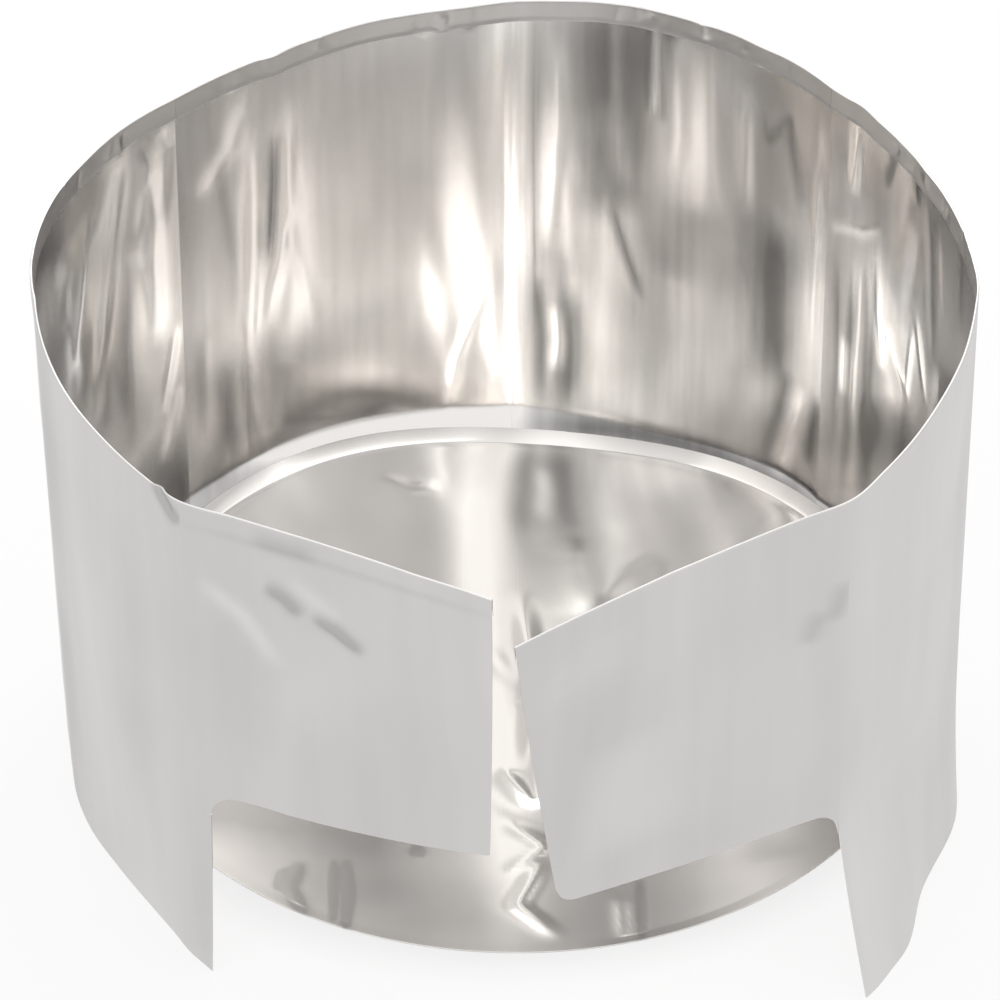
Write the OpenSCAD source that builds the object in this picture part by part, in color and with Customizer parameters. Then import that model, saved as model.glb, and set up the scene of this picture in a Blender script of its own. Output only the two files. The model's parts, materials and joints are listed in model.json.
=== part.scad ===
// Stove windscreen: a hemmed foil strip of eight panels, hand-bent into a ring,
// round a dished foil heat reflector. Millimetres, +Z up, the stove stands at the origin.

/* [Foil strip] */
// Height of the strip, and so of the wall
strip_h = 150; // [110:1:200]
// Thickness of the foil
foil_t = 0.2; // [0.1:0.05:0.4]
// Width of the hem pressed flat along the top edge
hem_w = 6; // [3:0.5:12]

/* [Folds] */
// Radius of the pressed ridge along each fold line
fold_ridge_r = 0.3; // [0.25:0.05:0.5]
// Clearance between a fold's ridge and the panel that swings on it
fold_gap = 0.3; // [0.15:0.05:0.6]

/* [Ring at rest] */
// Radius that the wall is bent to, at the middle of the foil
ring_r = 117; // [90:1:150]
// Bearing of each fold from the front, by the left and the back: left front fold first, right front fold last
fold_bearing = [40, 85, 132, 181.5, 227, 272, 317]; // [20:0.5:340]
// How far each fold stands off the round, in the same order
fold_out = [0.5, -2, -4.5, 2.5, 0, 1, 5]; // [-6:0.5:6]
// How far the middle of each wall panel stands off the round, in the same order
mid_out = [-1.5, -0.5, -4, 4.5, -0.5, 1]; // [-6:0.5:6]

/* [Front flaps] */
// Distance from the centre line to the left flap's free edge
left_gap = 2; // [1:0.5:20]
// Distance from the centre line to the right flap's free edge
right_gap = 8; // [1:0.5:20]
// How far the left flap's free edge stands in front of its fold
left_reach = 33; // [10:1:50]
// How far the right flap's free edge stands in front of its fold
right_reach = 44; // [10:1:60]
// Slant of the right flap's free edge from upright, its top standing further out
right_slant = 11; // [0:1:15]
// Height of the port cut out under the flaps
port_h = 56; // [20:1:90]
// Width of the leg that stands on past each front fold, beside the port
leg_w = 6; // [2:0.5:12]
// How far the left and the right leg are turned inwards from the wall
leg_turn = [35, -10]; // [-30:1:45]
// Radius of the port's inner corners
port_corner_r = 8; // [2:0.5:16]

/* [Heat reflector] */
// Thickness of the reflector's foil
reflector_t = 0.3; // [0.2:0.05:0.6]
// How far the reflector lies behind the ring's centre
reflector_back = 12; // [0:0.5:14]
// How far the reflector lies to the right of the ring's centre
reflector_right = 2; // [-6:0.5:6]
// Clearance between the reflector's lip and the nearest wall
reflector_gap = 0.8; // [0.4:0.1:12]
// Width of the flared rim along its slope, up to the lip
rim_w = 9; // [5:0.5:18]
// Slope of the flared rim above the floor
rim_angle = 38; // [20:1:70]
// Inside radius of the bend between the floor and the rim
rim_bend_r = 2.5; // [1:0.25:6]
// Width of the hem turned over along the lip
lip_hem_w = 4.5; // [2:0.5:8]

/* [Hidden] */
$fn = 96;

foil_outside = "gainsboro";
foil_reflector = "silver";
wall_panels = len(mid_out);
// A panel that swings on a fold starts this far from the fold line
fold_trim = fold_ridge_r + fold_gap;
// Height at which the port's side edge runs into its round corner
corner_h = port_h - port_corner_r;
// Overlap that lets cutting tools pass through a face
cut = 1;

// Plan of the ring. Bearings run from the front centre line by the left and the back to the right.
function bearing(angle) = [-sin(angle), -cos(angle)];
function mid_bearing(k) = (fold_bearing[k] + fold_bearing[k + 1]) / 2;
function fold_at(k) = (ring_r + fold_out[k]) * bearing(fold_bearing[k]);
function mid_at(k) = (ring_r + mid_out[k]) * bearing(mid_bearing(k));

// Centre of the circle through three points
function sq(p) = p * p;
function cross2(a, b) = a[0] * b[1] - a[1] * b[0];
function circle_centre(a, b, c) =
    let (u = b - a, v = c - a, d = 2 * cross2(u, v))
    a + [v[1] * sq(u) - u[1] * sq(v), u[0] * sq(v) - v[0] * sq(u)] / d;

// Each wall panel is bent to the circle through its two folds and its middle
function panel_centre(k) = circle_centre(fold_at(k), mid_at(k), fold_at(k + 1));
function panel_r(k) = norm(fold_at(k) - panel_centre(k));
function direction(p) = atan2(p[1], p[0]);
function turn_between(a, b) = (b - a + 720) % 360;
function panel_start(k) = direction(fold_at(k + 1) - panel_centre(k));
function panel_sweep(k) = turn_between(panel_start(k), direction(fold_at(k) - panel_centre(k)));
function panel_point(k, share) =
    let (angle = panel_start(k) + share * panel_sweep(k))
    panel_centre(k) + panel_r(k) * [cos(angle), sin(angle)];

// Free edges of the two flaps, and the folds that they swing on
left_fold = fold_at(0);
right_fold = fold_at(wall_panels);
left_edge = [-left_gap, left_fold[1] - left_reach];
right_edge = [right_gap, right_fold[1] - right_reach];

// The reflector's lip is as wide as the ring lets it pass, hem and all
reflector_at = [reflector_right, reflector_back];
wall_steps = 24;
nearest_wall = min([
    for (k = [0 : wall_panels - 1], i = [0 : wall_steps])
        norm(panel_point(k, i / wall_steps) - reflector_at)
]);
lip_r = nearest_wall - 1.5 * foil_t - reflector_gap;
floor_r = lip_r - reflector_t - rim_w * cos(rim_angle) - rim_bend_r * sin(rim_angle);

// Section of the strip: x is across the foil with the inside towards -x, y is up
module strip_section() {
    fold_h = strip_h - foil_t;
    translate([-foil_t / 2, 0]) square([foil_t, fold_h]);
    translate([-1.5 * foil_t, strip_h - hem_w]) square([foil_t, hem_w - foil_t]);
    intersection() {
        translate([-foil_t / 2, fold_h]) circle(r = foil_t);
        translate([-foil_t * 2, fold_h - foil_t / 8]) square([4 * foil_t, 2 * foil_t]);
    }
}

// Pressed ridge along a fold line
module fold_ridge(at) {
    translate(at) cylinder(r = fold_ridge_r, h = strip_h);
}

// One bent panel of the wall between fold k and fold k + 1, trimmed at the fold it swings on
module wall_panel(k, trim_first = 0, trim_last = 0) {
    r = panel_r(k);
    first_turn = trim_first / r * 180 / PI;
    last_turn = trim_last / r * 180 / PI;
    translate(panel_centre(k))
        rotate(panel_start(k) + last_turn)
            rotate_extrude(angle = panel_sweep(k) - first_turn - last_turn)
                translate([r, 0]) strip_section();
}

// What is cut away under a flap: the port, with its round upper corner, and the leg that stays with the wall
module port_outline(flap_w) {
    translate([-cut, -cut]) square([flap_w + 2 * cut, corner_h + cut]);
    translate([leg_w + port_corner_r, -cut]) square([flap_w, port_h + cut]);
    translate([leg_w + port_corner_r, corner_h]) circle(r = port_corner_r);
}

// Leg along +X from its fold, up to the corner of the port
module leg() {
    translate([0, -foil_t / 2, 0]) cube([leg_w, foil_t, corner_h - fold_gap]);
}

// A flat flap along +X from its fold, its inside towards +Y. Its free edge may slant about its middle.
module flap(flap_w, slant = 0) {
    mid_h = (strip_h + port_h) / 2;
    far_w = flap_w + strip_h;
    difference() {
        translate([fold_trim, 0, 0])
            rotate([90, 0, 90])
                linear_extrude(far_w)
                    mirror([1, 0]) strip_section();
        translate([0, cut, 0]) rotate([90, 0, 0])
            linear_extrude(2 * cut) {
                port_outline(far_w + cut);
                translate([flap_w, mid_h]) rotate(-slant)
                    translate([0, -strip_h]) square([2 * strip_h, 2 * strip_h]);
            }
    }
}

module left_flap() {
    along = left_edge - left_fold;
    color(foil_outside) translate(left_fold) rotate(direction(along)) flap(norm(along));
}

module right_flap() {
    along = right_edge - right_fold;
    color(foil_outside) translate(right_fold) rotate(direction(along))
        mirror([0, 1, 0]) flap(norm(along), right_slant);
}

module left_front_panel() {
    color(foil_outside) {
        wall_panel(0, trim_last = fold_trim);
        fold_ridge(fold_at(0));
        translate(fold_at(0)) rotate(panel_start(0) + panel_sweep(0) + 90 + leg_turn[0]) leg();
    }
}

module left_side_panel() {
    color(foil_outside) {
        wall_panel(1, trim_last = fold_trim);
        fold_ridge(fold_at(1));
    }
}

module back_left_panel() {
    color(foil_outside) {
        wall_panel(2);
        fold_ridge(fold_at(2));
        fold_ridge(fold_at(3));
    }
}

module back_right_panel() {
    color(foil_outside) {
        wall_panel(3, trim_first = fold_trim);
        fold_ridge(fold_at(4));
    }
}

module right_side_panel() {
    color(foil_outside) {
        wall_panel(4, trim_first = fold_trim);
        fold_ridge(fold_at(5));
    }
}

module right_front_panel() {
    color(foil_outside) {
        wall_panel(5, trim_first = fold_trim);
        fold_ridge(fold_at(6));
        translate(fold_at(6)) rotate(panel_start(5) - 90 - leg_turn[1]) leg();
    }
}

// Section of the reflector: floor, bend, flared rim and a lip hem turned over on top
module reflector_section() {
    t = reflector_t;
    square([floor_r, t]);
    translate([floor_r, t + rim_bend_r]) {
        intersection() {
            difference() {
                circle(r = rim_bend_r + t);
                circle(r = rim_bend_r);
            }
            reach = 2 * (rim_bend_r + t);
            polygon([[0, 0], [0, -reach], [reach * tan(rim_angle), -reach]]);
        }
        rotate(rim_angle) translate([0, -rim_bend_r - t]) {
            square([rim_w, t]);
            translate([rim_w - lip_hem_w, t]) square([lip_hem_w, t]);
            translate([rim_w, t]) circle(r = t);
        }
    }
}

module heat_reflector() {
    color(foil_reflector) translate(reflector_at) rotate_extrude() reflector_section();
}

left_flap();
left_front_panel();
left_side_panel();
back_left_panel();
back_right_panel();
right_side_panel();
right_front_panel();
right_flap();
heat_reflector();
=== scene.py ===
"""Stove windscreen: a creased aluminium foil strip round a dished foil heat reflector.

Lengths are metres, +Z is up, the front is towards -Y and the origin is the middle of the ring on
the ground. The strip is eight panels, each one thin closed shell that rides on its own body. They
meet on the upright fold lines, so that the foil stays whole however the folds turn. Only the foot
of the left fold leans in, by 3 mm, and a narrow tongue there closes the wedge that opens with it.

Creases are given in millimetres on their own piece: on a wall panel how far along from its left
end seen from inside and how far up, on a flap how far from its fold and how far up, and on the
dish how far to the right of its middle and how far behind it.
"""

import json
import logging
import math
from collections.abc import Mapping, Sequence
from dataclasses import dataclass
from enum import Enum
from typing import Any, Union

import bpy
import numpy as np
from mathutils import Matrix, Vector
from numpy.typing import NDArray


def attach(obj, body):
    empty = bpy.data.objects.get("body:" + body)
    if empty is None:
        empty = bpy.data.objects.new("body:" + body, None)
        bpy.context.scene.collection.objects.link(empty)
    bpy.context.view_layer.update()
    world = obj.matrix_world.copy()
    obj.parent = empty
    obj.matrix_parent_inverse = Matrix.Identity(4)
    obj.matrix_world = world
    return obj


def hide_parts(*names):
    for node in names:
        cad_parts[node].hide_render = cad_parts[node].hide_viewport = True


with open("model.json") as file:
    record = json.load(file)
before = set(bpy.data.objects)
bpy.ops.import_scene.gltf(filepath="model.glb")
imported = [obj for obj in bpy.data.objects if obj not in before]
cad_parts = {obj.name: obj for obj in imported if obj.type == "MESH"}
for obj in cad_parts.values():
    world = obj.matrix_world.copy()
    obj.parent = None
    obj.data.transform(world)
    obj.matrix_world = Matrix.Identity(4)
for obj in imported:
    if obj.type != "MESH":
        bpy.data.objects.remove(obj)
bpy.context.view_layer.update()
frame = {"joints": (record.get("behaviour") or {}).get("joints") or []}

Array = NDArray[np.float64]
Cells = NDArray[np.bool_]
Numbers = NDArray[np.int64]
Point = tuple[float, float]
Place = tuple[float, float, float]
Materials = Sequence[bpy.types.Material]

MM = 0.001
# How much wider a crease's sheen, the light and shade that it paints into the colour, is than the crease
PAINTED_LIGHT_SPREAD = 1.5
# Radius of a sharp crease's tip, as a share of the crease's width
SHARP_TIP = 0.2
# Brings the two peaks of a pleat's profile to 1
PLEAT_SCALE = 1.65
# Faces that meet at a larger angle than this have a hard edge between them
HARD_EDGE = math.radians(55)
LOG = logging.getLogger("windscreen")


class Face(Enum):
    """The two faces of the rolled foil, by material index. A cut edge shows the bright one."""

    SATIN = 0
    BRIGHT = 1


class Form(Enum):
    """How a crease is shaped across its line."""

    ROUND = "round"
    SHARP = "sharp"
    PLEAT = "pleat"


def ease(low: float, high: float, value: Array) -> Array:
    """Smooth step: 0 below low, 1 above high and 3t^2 - 2t^3 between.

    Args:
        low: Where the step starts.
        high: Where the step ends.
        value: The values to ease.

    Returns:
        The eased share, between 0 and 1.
    """
    share = np.clip((value - low) / (high - low), 0, 1)
    return share * share * (3 - 2 * share)


def half_turn() -> Array:
    """Angles of five even steps inside a half circle."""
    return np.linspace(0, math.pi, 7)[1:-1]


@dataclass(frozen=True)
class Crease:
    """A fold, dent or ripple along a line on its piece, in millimetres, with its sheen: highlights,
    reflections and shade painted along it.
    """

    path: tuple[Point, ...]
    height: float
    width: float
    painted_light_and_tone: float = 0.0
    form: Form = Form.ROUND

    def nearest(self, along: Array, up: Array) -> tuple[Array, Array]:
        """Finds the nearest point of the line for every place.

        Args:
            along: How far along the foil each place is.
            up: How far up each place is.

        Returns:
            The distance to the line, signed by its side, and the share of the line before that point.
        """
        best = np.full(along.shape, np.inf)
        share = np.zeros(along.shape)
        steps = [math.dist(a, b) for a, b in zip(self.path, self.path[1:])]
        walked = 0.0
        for (x0, y0), (x1, y1), step in zip(self.path, self.path[1:], steps):
            run, rise = x1 - x0, y1 - y0
            t = np.clip(((along - x0) * run + (up - y0) * rise) / step**2, 0, 1)
            right, above = along - x0 - t * run, up - y0 - t * rise
            gap = np.hypot(right, above)
            closer = gap < np.abs(best)
            best = np.where(closer, np.copysign(gap, right * rise - above * run), best)
            share = np.where(closer, (walked + t * step) / sum(steps), share)
            walked += step
        return best, share


@dataclass(frozen=True)
class Crumple:
    """A patch of small creases, drawn at random from one seed, in millimetres on its piece.

    The lean is in degrees from upright. The sheen paints random lighter and darker streaks into the colour.
    """

    count: int
    along: Point
    up: Point
    length: Point
    width: Point
    height: float
    lean: float
    seed: int
    painted_light_and_tone: float = 0.0
    form: Form = Form.ROUND

    def creases(self) -> list[Crease]:
        """Draws the patch: middles, lengths and widths evenly, the rest normally about 0.

        Returns:
            The patch's creases.
        """
        draw = np.random.default_rng(self.seed)
        middle = draw.uniform((self.along[0], self.up[0]), (self.along[1], self.up[1]), (self.count, 2))
        reach = draw.uniform(*self.length, self.count) / 2
        lean = np.radians(draw.normal(0, self.lean, self.count))
        step = np.stack([np.sin(lean) * reach, np.cos(lean) * reach], 1)
        height = draw.normal(0, self.height, self.count)
        width = draw.uniform(*self.width, self.count)
        painted_light_and_tone = draw.normal(0, self.painted_light_and_tone, self.count)
        return [
            Crease((tuple(m - d), tuple(m + d)), h, w, s, self.form)
            for m, d, h, w, s in zip(middle, step, height, width, painted_light_and_tone)
        ]


Folds = Sequence[Union[Crease, Crumple]]


def relief(folds: Folds, along: Array, up: Array) -> tuple[Array, Array]:
    """Height and sheen of all the creases over a grid of places.

    Each crease is its height times a profile of the distance d from its line (round: a bell curve,
    sharp: an exponential with a small round tip, pleat: a bell curve's slope, up on one side and
    down on the other), times (1 - q^4)^2 along it, where q runs from -1 to 1 between its ends. Its
    sheen, the light and shade that it paints into the colour, follows a bell curve that is
    PAINTED_LIGHT_SPREAD times as wide.

    Args:
        folds: The creases and the patches of creases, in millimetres.
        along: How far along the foil each place is, in millimetres.
        up: How far up each place is, in millimetres.

    Returns:
        The relief in millimetres, outwards on the strip and upwards on the dish, and the sheen: light and
        shade painted into the colour, with random tone.
    """
    creases = [c for f in folds for c in (f.creases() if isinstance(f, Crumple) else [f])]
    height, painted_light_and_tone = np.zeros_like(along), np.zeros_like(along)
    for crease in creases:
        gap, share = crease.nearest(along, up)
        d = gap / crease.width
        taper = (1 - (2 * share - 1) ** 4) ** 2
        if crease.form is Form.ROUND:
            profile = np.exp(-d * d)
        elif crease.form is Form.SHARP:
            profile = np.exp(SHARP_TIP - np.sqrt(d * d + SHARP_TIP**2))
        else:
            profile = PLEAT_SCALE * d * np.exp(-d * d / 2)
        height += crease.height * profile * taper
        painted_light_and_tone += crease.painted_light_and_tone * np.exp(-((d / PAINTED_LIGHT_SPREAD) ** 2)) * taper
    return height, painted_light_and_tone


def in_scene(name: str, data: bpy.types.ID) -> bpy.types.Object:
    """Makes an object of a mesh, a camera or a lamp, and puts it into the scene.

    Args:
        name: The object's name.
        data: What the object shows.

    Returns:
        The new object, at the origin, unturned and unscaled.
    """
    made = bpy.data.objects.new(name, data)
    bpy.context.scene.collection.objects.link(made)
    return made


@dataclass(frozen=True)
class Shell:
    """A finished closed surface: points and faces, each face's finish, each point's place and sheen, the
    light and shade painted into its colour.
    """

    points: Array
    faces: list[list[int]]
    finishes: Numbers
    places: Array
    painted_light_and_tone: Array

    def piece(self, name: str, materials: Materials) -> bpy.types.Object:
        """Puts the surface into Blender.

        Args:
            name: The piece's name.
            materials: The satin and the bright material, in the order of Face.

        Returns:
            The new object, at the origin, unturned and unscaled.
        """
        mesh = bpy.data.meshes.new(name)
        mesh.from_pydata(self.points.tolist(), [], self.faces)
        for material in materials:
            mesh.materials.append(material)
        mesh.polygons.foreach_set("material_index", self.finishes.astype(np.int32))
        mesh.polygons.foreach_set("use_smooth", np.ones(len(self.faces), dtype=bool))
        where = mesh.attributes.new("foil", "FLOAT_VECTOR", "POINT")
        where.data.foreach_set("vector", self.places.astype(np.float32).ravel())
        # The sheen attribute holds the light and shade painted into the colour, with random tone
        bright = mesh.attributes.new("painted_light_and_tone", "FLOAT", "POINT")
        bright.data.foreach_set("value", self.painted_light_and_tone.astype(np.float32).ravel())
        mesh.set_sharp_from_angle(angle=HARD_EDGE)
        mesh.validate()
        LOG.info("%s: %d points, %d faces", name, len(self.points), len(self.faces))
        return in_scene(name, mesh)


@dataclass(frozen=True)
class Sheet:
    """A foil without thickness: a grid of points, with their places on the flat foil and their sheen, the
    light and shade painted into their colour.
    """

    points: Array
    places: Array
    painted_light_and_tone: Array

    def beside(self, other: "Sheet") -> "Sheet":
        """This sheet with another's columns after its own."""
        return Sheet(
            np.concatenate([self.points, other.points]),
            np.concatenate([self.places, other.places]),
            np.concatenate([self.painted_light_and_tone, other.painted_light_and_tone]),
        )

    def cells(self) -> Cells:
        """True for every cell of the grid."""
        columns, rows = self.painted_light_and_tone.shape
        return np.ones((columns - 1, rows - 1), dtype=bool)

    def shell(
        self, thickness: float, hand: int, keep: Cells, inner_painted_light: float, outer_share: float
    ) -> Shell:
        """Gives the sheet the foil's thickness.

        The normal is the cross product of the grid's two slopes. Each point moves half the thickness
        both ways along it, and every edge that only one kept cell uses gets a face across the cut.

        Args:
            thickness: The foil's thickness.
            hand: 1 where columns run from left to right seen from inside the ring, -1 where they run back.
            keep: Which grid cells are foil.
            inner_painted_light: Painted light on the inner face: how much lighter its colour is than the
                creases alone make it.
            outer_share: How much of the creases' sheen, their painted light and shade, the outer face shows.

        Returns:
            The closed shell.
        """
        columns, rows = self.painted_light_and_tone.shape
        count = columns * rows
        normal = hand * np.cross(np.gradient(self.points, axis=1), np.gradient(self.points, axis=0))
        normal /= np.linalg.norm(normal, axis=2, keepdims=True)
        layers = [self.points + normal * thickness / 2, self.points - normal * thickness / 2]
        number = np.arange(count).reshape(columns, rows)
        corners = [number[:-1, :-1], number[:-1, 1:], number[1:, 1:], number[1:, :-1]]
        outer = np.stack(corners[::hand], -1)[keep]
        inner = outer[:, ::-1] + count
        edges = np.concatenate([outer[:, [k, (k + 1) % 4]] for k in range(4)])
        lone = ~np.isin(edges[:, 0] * count + edges[:, 1], edges[:, 1] * count + edges[:, 0])
        first, second = edges[lone].T
        rim = np.stack([second, first, first + count, second + count], -1)
        quads = np.concatenate([outer, inner, rim])
        finishes = np.full(len(quads), Face.BRIGHT.value)
        finishes[: len(outer)] = Face.SATIN.value
        used, quads = np.unique(quads, return_inverse=True)
        points = np.concatenate([layer.reshape(-1, 3) for layer in layers])[used]
        places = np.concatenate([self.places.reshape(-1, 3)] * 2)[used]
        painted_light_and_tone = np.concatenate([self.painted_light_and_tone * outer_share, self.painted_light_and_tone + inner_painted_light]).ravel()[used]
        return Shell(points, quads.reshape(-1, 4).tolist(), finishes, places, painted_light_and_tone)


class Signal:
    """A shader value that Python expressions can use: each operator adds one Math node."""

    def __init__(self, graph: "Graph", socket: bpy.types.NodeSocket) -> None:
        """Wraps one output socket of a graph."""
        self.graph = graph
        self.socket = socket

    def _math(self, operation: str, left: Any, right: Any) -> "Signal":
        """Adds a Math node on two values."""
        node = self.graph.node("ShaderNodeMath", {"operation": operation}, {0: left, 1: right})
        return Signal(self.graph, node.outputs[0])

    def __add__(self, other: "Amount") -> "Signal":
        """self + other."""
        return self._math("ADD", self, other)

    __radd__ = __add__

    def __mul__(self, other: "Amount") -> "Signal":
        """self * other."""
        return self._math("MULTIPLY", self, other)

    __rmul__ = __mul__

    def __sub__(self, other: "Amount") -> "Signal":
        """self - other."""
        return self._math("SUBTRACT", self, other)

    def __rsub__(self, other: "Amount") -> "Signal":
        """other - self."""
        return self._math("SUBTRACT", other, self)

    def held(self, low: float, high: float) -> "Signal":
        """The value, held between two limits."""
        return self._math("MINIMUM", self._math("MAXIMUM", self, low), high)


Amount = Union[Signal, float]
Colour = tuple[float, float, float, float]


class Graph:
    """The node tree of one material or of the world."""

    def __init__(self, owner: Union[bpy.types.Material, bpy.types.World]) -> None:
        """Starts an empty node tree.

        Args:
            owner: The material or the world that the tree belongs to.
        """
        owner.use_nodes = True
        self.tree = owner.node_tree
        self.tree.nodes.clear()

    def node(self, kind: str, settings: Mapping[str, Any], inputs: Mapping[Any, Any]) -> bpy.types.Node:
        """Adds one node.

        Args:
            kind: The node's type.
            settings: Its own settings, set first.
            inputs: Values or links for its sockets, by name or number.

        Returns:
            The node.
        """
        node = self.tree.nodes.new(kind)
        for name, value in settings.items():
            setattr(node, name, value)
        for name, value in inputs.items():
            if isinstance(value, Signal):
                self.tree.links.new(value.socket, node.inputs[name])
            elif isinstance(value, bpy.types.NodeSocket):
                self.tree.links.new(value, node.inputs[name])
            else:
                node.inputs[name].default_value = value
        return node

    def blend(self, share: Amount, first: Colour, second: Colour) -> bpy.types.NodeSocket:
        """Mixes two colours by a share.

        Args:
            share: 0 for the first colour, 1 for the second.
            first: A colour.
            second: A colour.

        Returns:
            The mixed colour's socket.
        """
        mix = self.node("ShaderNodeMix", {"data_type": "RGBA"}, {0: share, 6: first, 7: second})
        return mix.outputs[2]


def grey(value: float, warmth: float = 0.0) -> Colour:
    """A grey of one brightness, with red a little over it and blue a little under it."""
    return (value * (1 + warmth), value, value * (1 - warmth), 1.0)


@dataclass(frozen=True)
class FoilFinish:
    """One face of rolled aluminium foil: metal with soft drawn streaks that run up the strip.

    The clouds' sizes are in streaks: how many streaks wide they are, and what share of one high.
    """

    name: str
    dull: float
    clear: float
    warmth: float
    roughness: float
    roughness_spread: float
    streak_across: float
    streak_up: float
    streak: float
    # How strongly the creases' painted light and shade move the colour between the two greys
    painted_light_and_tone: float
    grain: float
    cloud_across: float = 5.0
    cloud_up: float = 0.5
    grain_across: float = 0.5 * MM
    grain_up: float = 12 * MM
    grain_depth: float = 0.02 * MM

    def noise(self, graph: Graph, across: float, up: float, detail: float) -> Signal:
        """Noise over the flat foil, in patches of one size along the strip and another up it.

        Args:
            graph: The material's node tree.
            across: Size of the patches along the strip, which is across the streaks.
            up: Size of the patches up the strip.
            detail: How many finer layers the noise has.

        Returns:
            The noise, between 0 and 1.
        """
        place = graph.node("ShaderNodeAttribute", {"attribute_name": "foil"}, {})
        stretch = {0: place.outputs["Vector"], 1: (1 / across, 1 / up, 1.0)}
        spot = graph.node("ShaderNodeVectorMath", {"operation": "MULTIPLY"}, stretch)
        sockets = {"Vector": spot.outputs[0], "Scale": 1.0, "Detail": detail}
        return Signal(graph, graph.node("ShaderNodeTexNoise", {}, sockets).outputs[0])

    def material(self) -> bpy.types.Material:
        """Makes the material.

        Returns:
            A metal whose colour and roughness follow the streaks and the creases' sheen, which paints light
            and shade into the colour, from half way between the dull and the clear grey.
        """
        material = bpy.data.materials.new(self.name)
        graph = Graph(material)
        streak = self.noise(graph, self.streak_across, self.streak_up, detail=3.0)
        cloud_size = (self.cloud_across * self.streak_across, self.cloud_up * self.streak_up)
        cloud = self.noise(graph, *cloud_size, detail=1.0)
        # The sheen attribute paints light and shade into the colour, on top of the random streaks and clouds
        mark = graph.node("ShaderNodeAttribute", {"attribute_name": "painted_light_and_tone"}, {})
        painted_light_and_tone = Signal(graph, mark.outputs["Fac"])
        drift = (streak - 0.5) * self.streak + (cloud - 0.5) * self.streak
        share = (drift + painted_light_and_tone * (self.painted_light_and_tone / 2) + 0.5).held(0.0, 1.0)
        colour = graph.blend(share, grey(self.dull, self.warmth), grey(self.clear, self.warmth))
        roughness = (0.5 - share) * (2 * self.roughness_spread) + self.roughness
        grain = self.noise(graph, self.grain_across, self.grain_up, detail=2.0)
        ripple = {"Strength": self.grain, "Distance": self.grain_depth, "Height": grain}
        bump = graph.node("ShaderNodeBump", {}, ripple)
        sockets = {
            "Base Color": colour,
            "Metallic": 1.0,
            "Roughness": roughness,
            "Normal": bump.outputs["Normal"],
        }
        shader = graph.node("ShaderNodeBsdfPrincipled", {}, sockets)
        graph.node("ShaderNodeOutputMaterial", {}, {"Surface": shader.outputs[0]})
        return material


SATIN_FOIL = FoilFinish(
    "satin_foil", dull=0.48, clear=0.77, warmth=0.018, roughness=0.36, roughness_spread=0.06,
    streak_across=9 * MM, streak_up=90 * MM, streak=0.20, painted_light_and_tone=0.6, grain=0.15,
)
BRIGHT_FOIL = FoilFinish(
    "bright_foil", dull=0.22, clear=0.96, warmth=0.022, roughness=0.20, roughness_spread=0.06,
    streak_across=4 * MM, streak_up=70 * MM, streak=0.26, painted_light_and_tone=1.0, grain=0.10,
)
DISH_FOIL = FoilFinish(
    "dish_foil", dull=0.34, clear=0.98, warmth=0.034, roughness=0.16, roughness_spread=0.05,
    streak_across=14 * MM, streak_up=40 * MM, streak=0.16, painted_light_and_tone=1.0, grain=0.10,
)


@dataclass(frozen=True)
class Foil:
    """The strip's own sizes, which every panel shares."""

    height: float = 150 * MM
    thickness: float = 0.2 * MM
    hem: float = 6 * MM
    hem_rows: int = 9
    hem_bend_r: float = 0.22 * MM
    hem_lift: float = 0.35 * MM
    hem_lift_h: float = 0.8 * MM
    port_h: float = 56 * MM
    port_corner_r: float = 8 * MM

    @property
    def corner_h(self) -> float:
        """Height at which the port's side edge runs into its round corner."""
        return self.port_h - self.port_corner_r

    @property
    def bend_h(self) -> float:
        """Height at which the wall starts to turn over into the hem."""
        return self.height - self.hem_bend_r

    def hem_section(self) -> tuple[Array, Array]:
        """The foil's section past the wall: over the top edge and down the hem on the inside.

        Returns:
            The height of every row, and how far each stands inwards of the wall. The turn is half a
            circle. The hem's lower edge is lifted off the wall a little, by an exponential.
        """
        turn = half_turn()
        hem = np.linspace(self.bend_h, self.height - self.hem, self.hem_rows)
        lift = self.hem_lift * np.exp(-(hem - hem[-1]) / self.hem_lift_h)
        heights = np.concatenate([self.bend_h + self.hem_bend_r * np.sin(turn), hem])
        inwards = np.concatenate([self.hem_bend_r * (1 - np.cos(turn)), 2 * self.hem_bend_r + lift])
        return heights, inwards


@dataclass(frozen=True)
class Bow:
    """An arc of the ring seen from above, bulging outwards, from left to right seen from inside."""

    start: Array
    end: Array
    bulge: float

    @property
    def chord(self) -> float:
        """Straight distance between the two ends."""
        return math.dist(self.start, self.end)

    @property
    def radius(self) -> float:
        """Radius of the arc, from its chord and its bulge."""
        return (self.chord**2 / 4 + self.bulge**2) / (2 * self.bulge)

    @property
    def half_angle(self) -> float:
        """Half the angle that the arc turns through."""
        return math.asin(self.chord / 2 / self.radius)

    @property
    def length(self) -> float:
        """Length along the arc."""
        return 2 * self.radius * self.half_angle

    def at(self, share: Array) -> tuple[Array, Array, Array]:
        """Points along the arc: its centre plus the radius times a direction that turns evenly.

        Args:
            share: 0 at the start and 1 at the end.

        Returns:
            The points, their outward normals and their tangents, each (n, 2).
        """
        line = (self.end - self.start) / self.chord
        out = np.array([-line[1], line[0]])
        angle = ((2 * share - 1) * self.half_angle)[:, None]
        centre = (self.start + self.end) / 2 - out * (self.radius - self.bulge)
        normal = out * np.cos(angle) + line * np.sin(angle)
        tangent = line * np.cos(angle) - out * np.sin(angle)
        return centre + self.radius * normal, normal, tangent


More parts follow.
